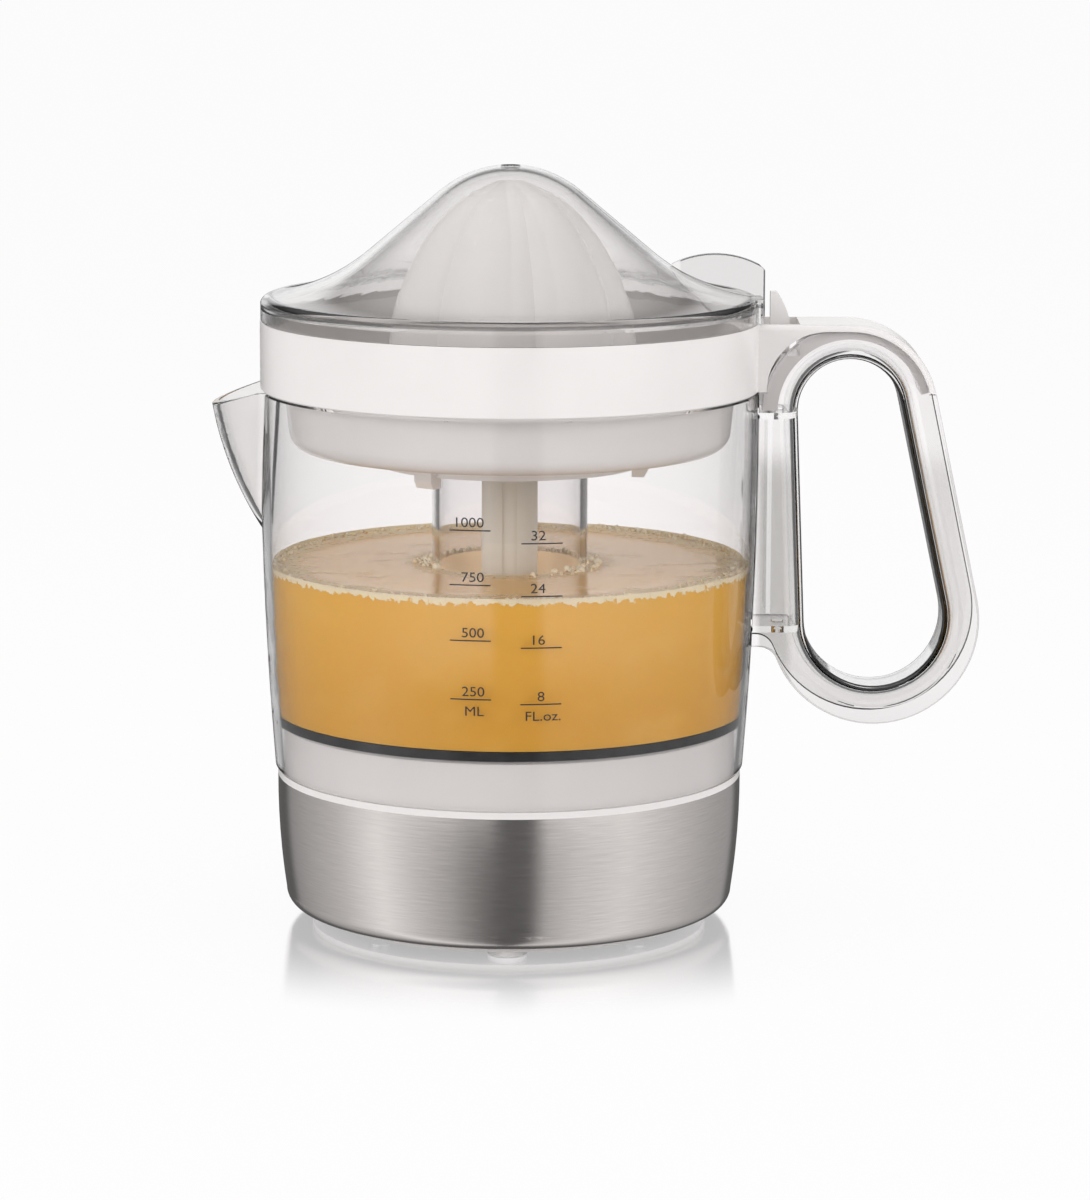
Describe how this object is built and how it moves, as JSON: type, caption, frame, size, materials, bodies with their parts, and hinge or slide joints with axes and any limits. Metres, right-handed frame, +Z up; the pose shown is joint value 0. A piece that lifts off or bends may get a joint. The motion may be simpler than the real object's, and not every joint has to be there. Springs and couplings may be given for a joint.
{
  "type": "citrus press juicer",
  "caption": "Electric citrus press: steel motor base, clear jug with spout and loop handle, white strainer tray, lobed reamer and smoky domed lid.",
  "frame": {"origin": "on the upright axis of the jug, at the plane of the feet", "axes": "+Z up, +X towards the handle, spout at -X, printed scale faces -Y"},
  "size_m": [0.2383, 0.1549, 0.2353],
  "materials": {
    "white_plastic": "satin moulded white",
    "clear_plastic": "clear moulded",
    "smoky_plastic": "clear moulded, smoky tint",
    "cream_plastic": "plain moulded cream",
    "dark_rubber": "matt",
    "pale_rubber": "matt",
    "brushed_shell": "brushed round the sleeve",
    "plain_steel": "plain drawn",
    "core_iron": "stacked sheet",
    "coil_wire": "enamelled wire",
    "bush_bronze": "sintered",
    "black_plastic": "plain moulded black",
    "lead_jacket": "soft jacket"
  },
  "bodies": {
    "base": {"steel_sleeve": "brushed_shell", "base_housing": "white_plastic", "bottom_plate": "white_plastic", "rubber_feet": "pale_rubber", "housing_screws": "plain_steel", "cord_gland": "black_plastic", "double_axle": "plain_steel", "stator_core": "core_iron", "field_coils": "coil_wire", "motor_bridge": "plain_steel", "motor_bolts": "plain_steel", "motor_spacers": "plain_steel", "gear_plate": "plain_steel", "plate_screws": "plain_steel", "lower_bush": "bush_bronze", "upper_bush": "bush_bronze", "spindle_seal": "dark_rubber", "return_spring": "plain_steel", "switch_bracket": "plain_steel", "switch_body": "black_plastic", "terminal_block": "black_plastic", "lead_wires": "lead_jacket"},
    "output": {"output_gear": "cream_plastic"},
    "intermediate": {"double_gear": "cream_plastic"},
    "rotor": {"rotor_pinion": "bush_bronze", "rotor_shaft": "plain_steel", "rotor_core": "core_iron"},
    "jug": {"jug_body": "clear_plastic", "jug_base": "clear_plastic", "floor_seal": "dark_rubber"},
    "tray": {"tray": "white_plastic"},
    "lid": {"lid": "smoky_plastic"},
    "pulp_control": {"pulp_sieve": "white_plastic", "pulp_ring": "white_plastic", "pulp_lever": "white_plastic"},
    "drive": {"drive_shaft": "cream_plastic"},
    "press": {"press_rod": "plain_steel", "reamer": "white_plastic"},
    "plunger": {"plunger_pin": "plain_steel"},
    "button": {"switch_button": "white_plastic"}
  },
  "joints": [
    {"name": "spindle_spin", "type": "hinge", "parent": "base", "child": "output", "pos_m": [0, 0, 0.05], "axis": [0, 0, 1], "continuous": true},
    {"name": "double_gear_spin", "type": "hinge", "parent": "base", "child": "intermediate", "pos_m": [-0.02253, 0.02692, 0.05], "axis": [0, 0, 1], "continuous": true},
    {"name": "rotor_spin", "type": "hinge", "parent": "base", "child": "rotor", "pos_m": [-0.036, 0, 0.03], "axis": [0, 0, 1], "continuous": true},
    {"name": "jug_lift", "type": "slide", "parent": "base", "child": "jug", "axis": [0, 0, 1], "range_m": [0, 0.12]},
    {"name": "tray_lift", "type": "slide", "parent": "jug", "child": "tray", "axis": [0, 0, 1], "range_m": [0, 0.12]},
    {"name": "lid_lift", "type": "slide", "parent": "tray", "child": "lid", "axis": [0, 0, 1], "range_m": [0, 0.08]},
    {"name": "pulp_swing", "type": "hinge", "parent": "tray", "child": "pulp_control", "pos_m": [0, 0, 0.15], "axis": [0, 0, 1], "range_deg": [-5, 5]},
    {"name": "drive_spin", "type": "hinge", "parent": "tray", "child": "drive", "pos_m": [0, 0, 0.12], "axis": [0, 0, 1], "continuous": true},
    {"name": "press_slide", "type": "slide", "parent": "drive", "child": "press", "axis": [0, 0, 1], "range_m": [-0.0025, 0], "stiffness_N_per_m": 800, "springref_m": 0.004},
    {"name": "plunger_slide", "type": "slide", "parent": "base", "child": "plunger", "axis": [0, 0, 1], "range_m": [-0.0025, 0], "deforming": ["return_spring"]},
    {"name": "button_slide", "type": "slide", "parent": "base", "child": "button", "axis": [0, 0, 1], "range_m": [-0.0025, 0]}
  ],
  "couplings": [
    {"joint": "double_gear_spin", "follows": "spindle_spin", "ratio": -4},
    {"joint": "rotor_spin", "follows": "spindle_spin", "ratio": 16},
    {"joint": "drive_spin", "follows": "spindle_spin", "ratio": 1},
    {"joint": "plunger_slide", "follows": "press_slide", "ratio": 1},
    {"joint": "button_slide", "follows": "press_slide", "ratio": 1}
  ]
}
